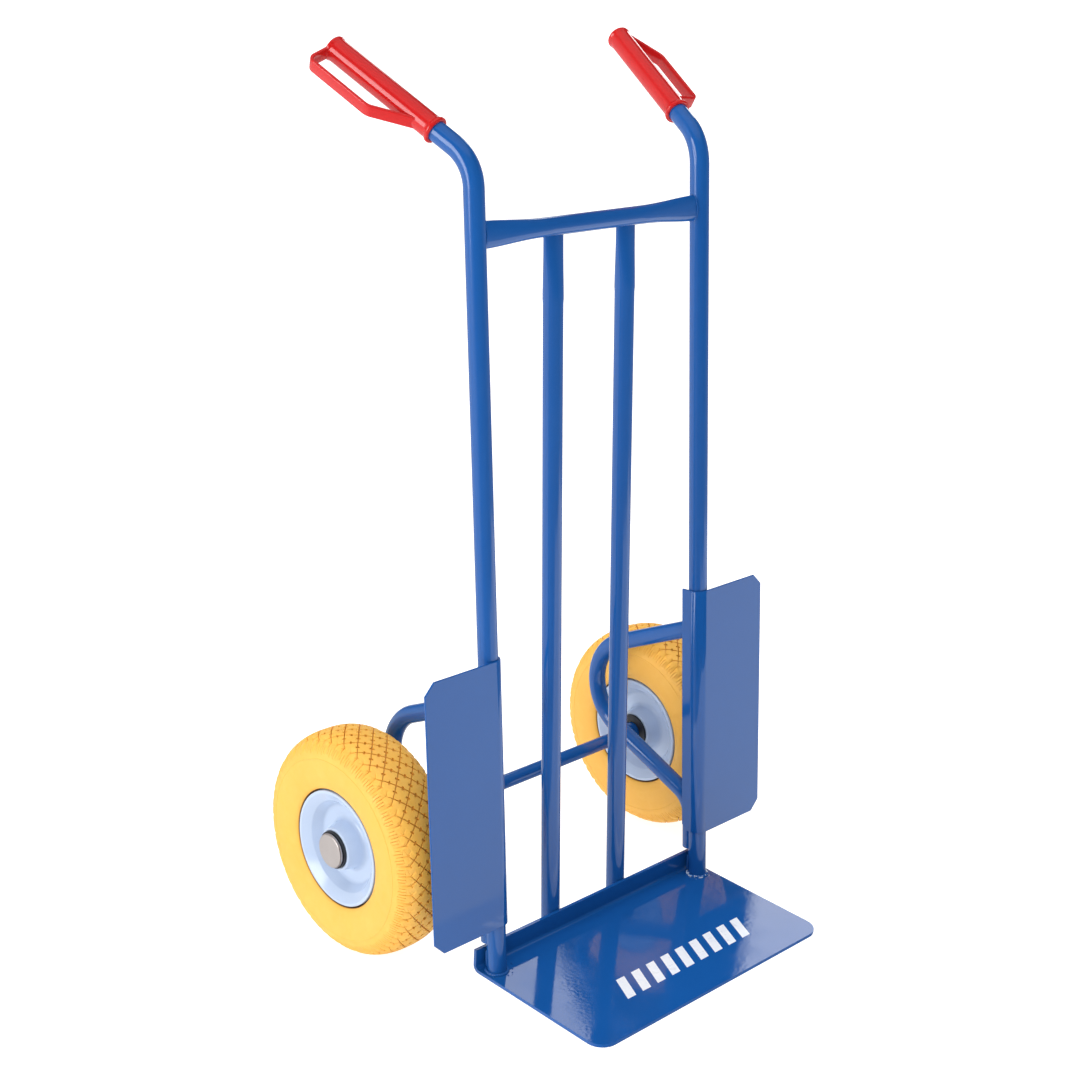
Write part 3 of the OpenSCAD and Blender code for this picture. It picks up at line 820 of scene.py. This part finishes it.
def band(matrix, first):
    """The knuckle guard: a flat strip from the square end, along, and back into the barrel."""
    reach, thick, width = 36.0, 4.0, 14.0
    path = rounded([(9.5, 2.1), (reach, 2.1), (reach, 86.5), (9.0, 128)], [0, 7.5, 14, 0], 8)
    corner = 1.3
    outline = []
    for cx, cy, start in ((1, 1, 0), (-1, 1, 90), (-1, -1, 180), (1, -1, 270)):
        for k in range(4):
            a = math.radians(start + 30 * k)
            outline.append(((thick / 2 - corner) * cx + corner * math.cos(a),
                            (width / 2 - corner) * cy + corner * math.sin(a)))
    n = len(outline)
    verts = []
    for i, p in enumerate(path):
        before, after = path[max(i - 1, 0)], path[min(i + 1, len(path) - 1)]
        along = (after - before).normalized()
        out = Vector((along.y, -along.x))
        for u, t in outline:
            spot = p + out * u
            verts.append(matrix @ Vector((spot.x, spot.y, t)))
    faces = ring_faces(len(path), n, start=first)
    faces.append(tuple(first + i for i in reversed(range(n))))
    faces.append(tuple(first + (len(path) - 1) * n + i for i in range(n)))
    return verts, oriented(faces, -1)


def make_grips():
    """Both grips: one moulding, with the right one's guard turned end for end."""
    for side, sign in SIDES.items():
        local = grip_frame(side)
        verts, faces = barrel(local)
        far = Matrix.Translation((0, 0, RIGHT_BAND_START))
        if side == "left":
            far = Matrix.Translation((0, 0, GRIP_LEN)) @ Matrix.Diagonal((1, 1, -1, 1))
        guard = local @ far @ Matrix.Rotation(BAND_DROP[side], 4, "Z") @ Matrix.Rotation(math.pi / 2, 4, "X")
        more, more_faces = band(guard, len(verts))
        add_piece(f"{side}_moulded_grip", verts + more, oriented(faces, sign) + more_faces,
                  "frame", RED, [f"{side}_grip"], sharp=40)


# ---- Welds ----

def bead(points, radius, seed, closed=False, sides=10, ripple=2.3):
    """A rippled weld bead along a path, in millimetres."""
    rng = random.Random(seed)
    path = [Vector(p) for p in points]
    if closed:
        path.append(path[0].copy())
    lengths = [0.0]
    for a, b in zip(path, path[1:]):
        lengths.append(lengths[-1] + (b - a).length)
    total = lengths[-1]
    count = max(8, int(total / 0.45))
    if closed:
        ripple = total / max(1, round(total / ripple))
    verts, faces = [], []
    up = Vector((0.13, 0.21, 0.97)).normalized()
    previous = None
    for i in range(count + (0 if closed else 1)):
        at = total * i / count
        k = max(j for j in range(len(lengths) - 1) if lengths[j] <= at + 1e-9)
        t = (at - lengths[k]) / max(lengths[k + 1] - lengths[k], 1e-9)
        spot = path[k].lerp(path[k + 1], t)
        ahead = (path[k + 1] - path[k]).normalized()
        across = ahead.cross(previous if previous else up).normalized()
        other = across.cross(ahead).normalized()
        previous = other
        phase = (at / ripple) % 1.0
        swell = 0.86 + 0.2 * (1 - (2 * phase - 1) ** 2) + rng.uniform(-0.03, 0.03)
        if not closed:
            ends = min(at, total - at) / (radius * 1.2)
            swell *= min(1.0, 0.35 + 0.65 * math.sqrt(min(1.0, ends)))
        for j in range(sides):
            a = 2 * math.pi * j / sides
            verts.append(spot + (across * math.cos(a) + other * math.sin(a)) * radius * swell)
    rings = len(verts) // sides
    faces += oriented(ring_faces(rings, sides, closed_rings=closed), -1)
    if not closed:
        faces.append(tuple(range(sides)))
        faces.append(tuple((rings - 1) * sides + j for j in reversed(range(sides))))
    return verts, faces


def droplet(at, radius, squash=0.6):
    """A drop of weld spatter, a flattened dome."""
    verts = []
    columns, rings = 8, 5
    for i in range(1, rings):
        a = math.pi * i / rings
        for j in range(columns):
            b = 2 * math.pi * j / columns
            verts.append((at[0] + radius * math.sin(a) * math.cos(b),
                          at[1] + radius * math.sin(a) * math.sin(b),
                          at[2] + radius * squash * math.cos(a)))
    faces = ring_faces(rings - 1, columns)
    verts += [(at[0], at[1], at[2] + radius * squash), (at[0], at[1], at[2] - radius * squash)]
    last = list(range((rings - 2) * columns, (rings - 1) * columns))
    faces += fan(list(range(columns)), len(verts) - 2) + fan(last[::-1], len(verts) - 1)
    return verts, oriented(faces, -1)


def joined(parts):
    """Several meshes as one list of vertices and one of faces."""
    verts, faces = [], []
    for v, f in parts:
        start = len(verts)
        verts += [tuple(p) for p in v]
        faces += [tuple(start + i for i in face) for face in f]
    return verts, faces


def ellipse_points(matrix, rx, ry, n=48):
    """Points round an ellipse in a matrix's own xy plane."""
    angles = [2 * math.pi * j / n for j in range(n)]
    return [matrix @ Vector((rx * math.cos(a), ry * math.sin(a), 0)) for a in angles]


def bracket_end(side, n=56):
    """Where a bracket's upper arm meets the rear of its upright."""
    sign = SIDES[side]
    arm = Vector((0, math.cos(UPPER_FALL + LEAN), -math.sin(UPPER_FALL + LEAN)))
    up = Vector((0, math.sin(UPPER_FALL + LEAN), math.cos(UPPER_FALL + LEAN)))
    start = Vector((0, 0, BRACKET_TOP / math.cos(LEAN)))
    points = []
    for j in range(n):
        a = 2 * math.pi * j / n
        x = BRACKET_R * math.cos(a)
        reach = math.sqrt(TUBE_R ** 2 - x ** 2)
        spot = start + up * (BRACKET_R * math.sin(a))
        spot += arm * ((reach - spot.y) / arm.y)
        points.append(LEANED @ Vector((sign * (UPRIGHT_X + x), spot.y, spot.z)))
    return points


def foot_weld(side, seed):
    """The bead round an upright's foot on the toe plate."""
    foot = Matrix.Translation((SIDES[side] * UPRIGHT_X, FOOT_Y + TOE_T * math.tan(LEAN), TOE_T + 0.4))
    reach = TUBE_R + 0.9
    return bead(ellipse_points(foot, reach, reach), radius=2.0, seed=seed, closed=True)


def flange_welds(side, seed):
    """Two upright beads between an upright's foot and the flange behind it."""
    x = SIDES[side] * UPRIGHT_X
    beads = []
    for dx in (-5.5, 5.5):
        ends = [LEANED @ Vector((x + dx, 10.8, 7)), LEANED @ Vector((x + dx, 10.2, 27))]
        beads.append(bead(ends, radius=1.5, seed=seed))
    return beads


def crossbar_weld(side, seed):
    """The bead round one pressed end of the crossbar."""
    end = Matrix.Translation(LEANED @ Vector((SIDES[side] * (UPRIGHT_X - TUBE_R + 0.6), 0, CROSSBAR_UP)))
    end = end @ Matrix.Rotation(-LEAN, 4, "X") @ Matrix.Rotation(math.pi / 2, 4, "Y")
    return bead(ellipse_points(end, 13.4, 6.2), radius=1.2, seed=seed, closed=True)


def centre_tube_welds(side, head_seed, foot_seed):
    """The beads of a centre tube, under the crossbar and on the flange's back."""
    lo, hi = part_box(f"{side}_centre_tube")
    x = (lo.x + hi.x) / 2 / MM
    head = Matrix.Translation((x, hi.y / MM - 7.6, hi.z / MM - 1.2))
    beads = [bead(ellipse_points(head, 13.4, 6.6), radius=1.7, seed=head_seed, closed=True)]
    y = plate_hi.y / MM + 1.6
    for dx in (-6.5, 6.5):
        beads.append(bead([(x + dx, y, 7), (x + dx, y, 26)], radius=1.6, seed=foot_seed))
    return beads


def spatter(side, rng):
    """Drops scattered on the toe plate round an upright's foot."""
    drops = []
    for _ in range(26):
        a = rng.uniform(0, 2 * math.pi)
        away = rng.uniform(13.5, 21)
        x = SIDES[side] * UPRIGHT_X + away * math.cos(a)
        y = FOOT_Y + away * math.sin(a)
        if plate_lo.x / MM + 2 < x < plate_hi.x / MM - 2 and y < plate_hi.y / MM - 10:
            drops.append(droplet((x, y, TOE_T + 0.1), rng.uniform(0.5, 1.2)))
    return drops


def make_welds():
    """All weld beads and spatter; those at the right foot carry painted glints."""
    rng = random.Random(11)
    parts, foot_parts = [], []
    for side, sign in SIDES.items():
        at_foot = foot_parts if side == "right" else parts
        at_foot.append(foot_weld(side, 21 + sign))
        parts += flange_welds(side, 31 + sign)
        parts.append(crossbar_weld(side, 41 + sign))
        parts.append(bead(bracket_end(side), radius=1.4, seed=51 + sign, closed=True))
        parts += centre_tube_welds(side, 61 + sign, 71 + sign)
        at_foot += spatter(side, rng)
    for name, made, paint in (("frame_welds", parts, TUBE_PAINT), ("foot_welds", foot_parts, WELD_GLINT_PAINT)):
        verts, faces = joined(made)
        add_piece(name, verts, faces, "frame", paint, sharp=60)


# ---- Printed mark ----

def make_mark():
    """A plain row of slanted white stripes on the toe plate."""
    count, width, gap, height, slant = 9, 13, 11, 34, 16
    first_x, mid_y = -96, -168
    top = TOE_T + 0.06
    verts, faces = [], []
    for i in range(count):
        x = first_x + i * (width + gap)
        corners = [(x, mid_y - height / 2), (x + width, mid_y - height / 2),
                   (x + width + slant, mid_y + height / 2), (x + slant, mid_y + height / 2)]
        start = len(verts)
        for z in (top - 0.05, top):
            verts += [(cx, cy, z) for cx, cy in corners]
        faces += [(start + 4, start + 5, start + 6, start + 7), (start + 3, start + 2, start + 1, start)]
        faces += [(start + j, start + (j + 1) % 4, start + 4 + (j + 1) % 4, start + 4 + j) for j in range(4)]
    add_piece("plate_stripes", verts, faces, "frame", INK)


# ---- Studio ----

FLOOR_HALF = 30.0
DOME_R = 27.0
# What shiny surfaces mirror: direction, cosine where a glow starts, cosine where it is full, strength
WORLD_PANELS = [
    ((0, 0, 1), -2.0, -1.0, 0.04),
    ((0, 0, 1), 0.70, 0.84, 0.45),
    ((0, 0, -1), 0.02, 0.20, 0.18),
    ((-0.75, 0.62, -0.30), 0.35, 0.95, 0.75),
    ((0.66, 0.67, -0.34), 0.74, 0.93, 0.7),
    ((0.95, -0.20, -0.30), 0.60, 0.95, 0.2),
    ((-0.96, 0.16, 0.16), 0.95, 0.965, 5.0),
]
# Even light that no surface mirrors: place, size and power
FILLS = [
    ("front_fill", (-1.9, -1.9, 1.6), 1.6, 23),
    ("right_fill", (2.4, -0.8, 1.4), 1.6, 9),
    ("back_fill", (0.4, 2.8, 1.6), 1.6, 14),
    ("left_rear_fill", (-2.0, 1.4, 0.9), 1.4, 6),
]
# White cards that only shiny surfaces mirror: place, where they face, size, roll and power
CARDS = [
    ("floor_card", (0.70, -0.95, 0.01), (0.70, -0.95, 1.0), (2.1, 1.7), 0, 11),
    ("plate_card", (1.63, 1.60, 1.90), (-0.15, -0.17, 0.0), (0.26, 0.75), 25, 1.4),
    ("corner_card", (2.92, 1.60, 1.85), (0.15, -0.15, 0.0), (0.60, 1.10), 0, 6.5),
]
SKY_STRENGTH = 1.9
SKY_ANGLE = math.radians(75)


def paper(name, glow):
    """Faintly clouded white paper that glows a little."""
    made = Finish(name, (0.55, 0.55, 0.55), 0.8, Emission_Strength=glow)
    made.shader.inputs["Emission Color"].default_value = (1, 1, 1, 1)
    made.tint(made.ranged(made.noise(2, 2), 0, 0.3), (0.53, 0.53, 0.54))
    return made.material


def studio_object(name, verts, faces, material):
    """An object of the studio, given in metres."""
    mesh = bpy.data.meshes.new(name)
    mesh.from_pydata(verts, [], faces)
    mesh.materials.append(material)
    made = bpy.data.objects.new(name, mesh)
    bpy.context.scene.collection.objects.link(made)
    return made


def area_light(name, location, target, size, power):
    """A rectangular lamp that faces its target."""
    data = bpy.data.lights.new(name, "AREA")
    data.shape = "RECTANGLE"
    data.size, data.size_y = size
    data.energy = power
    lamp = bpy.data.objects.new(name, data)
    lamp.location = location
    lamp.rotation_mode = "QUATERNION"
    lamp.rotation_quaternion = (Vector(target) - Vector(location)).to_track_quat("-Z", "Y")
    bpy.context.scene.collection.objects.link(lamp)
    return lamp


def make_backdrop():
    """A white dome far behind everything, which only the camera sees."""
    rows, columns = 10, 64
    verts = []
    for i in range(rows):
        rise = math.radians(90 * i / rows)
        for j in range(columns):
            a = 2 * math.pi * j / columns
            verts.append((DOME_R * math.cos(rise) * math.cos(a), DOME_R * math.cos(rise) * math.sin(a),
                          DOME_R * math.sin(rise)))
    verts.append((0, 0, DOME_R))
    last = (rows - 1) * columns
    faces = ring_faces(rows, columns)
    faces += [(last + j, last + (j + 1) % columns, len(verts) - 1) for j in range(columns)]
    dome = studio_object("backdrop", verts, faces, paper("backdrop_paper", 1.4))
    for ray in ("diffuse", "glossy", "transmission", "volume_scatter", "shadow"):
        setattr(dome, f"visible_{ray}", False)


def make_floor():
    """The pale floor; shiny surfaces see the painted world through it."""
    h = FLOOR_HALF
    corners = [(-h, -h, 0), (h, -h, 0), (h, h, 0), (-h, h, 0)]
    floor = studio_object("floor", corners, [(0, 1, 2, 3)], paper("floor_paper", 0.85))
    floor.visible_glossy = False


def panel_glow(tree, direction, panel):
    """How strongly one panel of the world glows in a direction."""
    towards, low, high, strength = panel
    dot = add_node(tree, "ShaderNodeVectorMath", operation="DOT_PRODUCT")
    dot.inputs[1].default_value = Vector(towards).normalized()
    tree.links.new(direction, dot.inputs[0])
    glow = add_node(tree, "ShaderNodeMapRange",
                    {"From Min": low, "From Max": high, "To Min": 0, "To Max": strength},
                    interpolation_type="SMOOTHSTEP")
    tree.links.new(dot.outputs["Value"], glow.inputs["Value"])
    return glow.outputs["Result"]


def make_world():
    """The surroundings, painted as soft panels that add up."""
    world = bpy.data.worlds.new("studio")
    bpy.context.scene.world = world
    world.use_nodes = True
    tree = world.node_tree
    background = tree.nodes["Background"]
    direction = add_node(tree, "ShaderNodeTexCoord").outputs["Generated"]
    total = panel_glow(tree, direction, WORLD_PANELS[0])
    for panel in WORLD_PANELS[1:]:
        both = add_node(tree, "ShaderNodeMath", operation="ADD")
        tree.links.new(total, both.inputs[0])
        tree.links.new(panel_glow(tree, direction, panel), both.inputs[1])
        total = both.outputs["Value"]
    tree.links.new(total, background.inputs["Strength"])
    background.inputs["Color"].default_value = (0.97, 0.98, 1.0, 1)


def make_lights():
    """Even fills, cards for the reflections, and a wide soft sky."""
    for name, place, size, power in FILLS:
        area_light(name, place, (0, 0, 0.4), (size, size), power).visible_glossy = False
    for name, place, target, size, roll, power in CARDS:
        card = area_light(name, place, target, size, power)
        card.rotation_quaternion @= Quaternion((0, 0, 1), math.radians(roll))
        card.visible_diffuse = False
        card.visible_camera = False
    data = bpy.data.lights.new("sky", "SUN")
    data.energy = SKY_STRENGTH
    data.angle = SKY_ANGLE
    sky = bpy.data.objects.new("sky", data)
    sky.visible_glossy = False
    bpy.context.scene.collection.objects.link(sky)


CAMERA_AZIMUTH = math.radians(-44.46)
CAMERA_ELEVATION = math.radians(19.71)
CAMERA_ROLL = math.radians(2.44)
CAMERA_DISTANCE = 2.0315
AIM_FROM_CENTRE = Vector((-0.04837, 0.03112, -0.03256))
LENS = 61.38


def make_camera():
    """The photograph's viewpoint."""
    lo, hi = (Vector(p) for p in cad_box)
    aim = (lo + hi) / 2 + AIM_FROM_CENTRE
    back = Vector((
        math.sin(CAMERA_AZIMUTH) * math.cos(CAMERA_ELEVATION),
        -math.cos(CAMERA_AZIMUTH) * math.cos(CAMERA_ELEVATION),
        math.sin(CAMERA_ELEVATION),
    ))
    data = bpy.data.cameras.new("camera")
    data.lens = LENS
    data.sensor_width = 36
    data.clip_end = 100
    camera = bpy.data.objects.new("camera", data)
    level = (-back).to_track_quat("-Z", "Y").to_matrix().to_4x4()
    place = Matrix.Translation(aim + back * CAMERA_DISTANCE)
    camera.matrix_world = place @ level @ Matrix.Rotation(CAMERA_ROLL, 4, "Z")
    bpy.context.scene.collection.objects.link(camera)
    bpy.context.scene.camera = camera


dress_cad()
make_tyres()
make_rims()
make_caps()
make_crossbar()
make_centre_tubes()
make_grips()
make_welds()
make_mark()
make_floor()
make_backdrop()
make_world()
make_lights()
make_camera()
bpy.context.scene.view_settings.view_transform = "Standard"
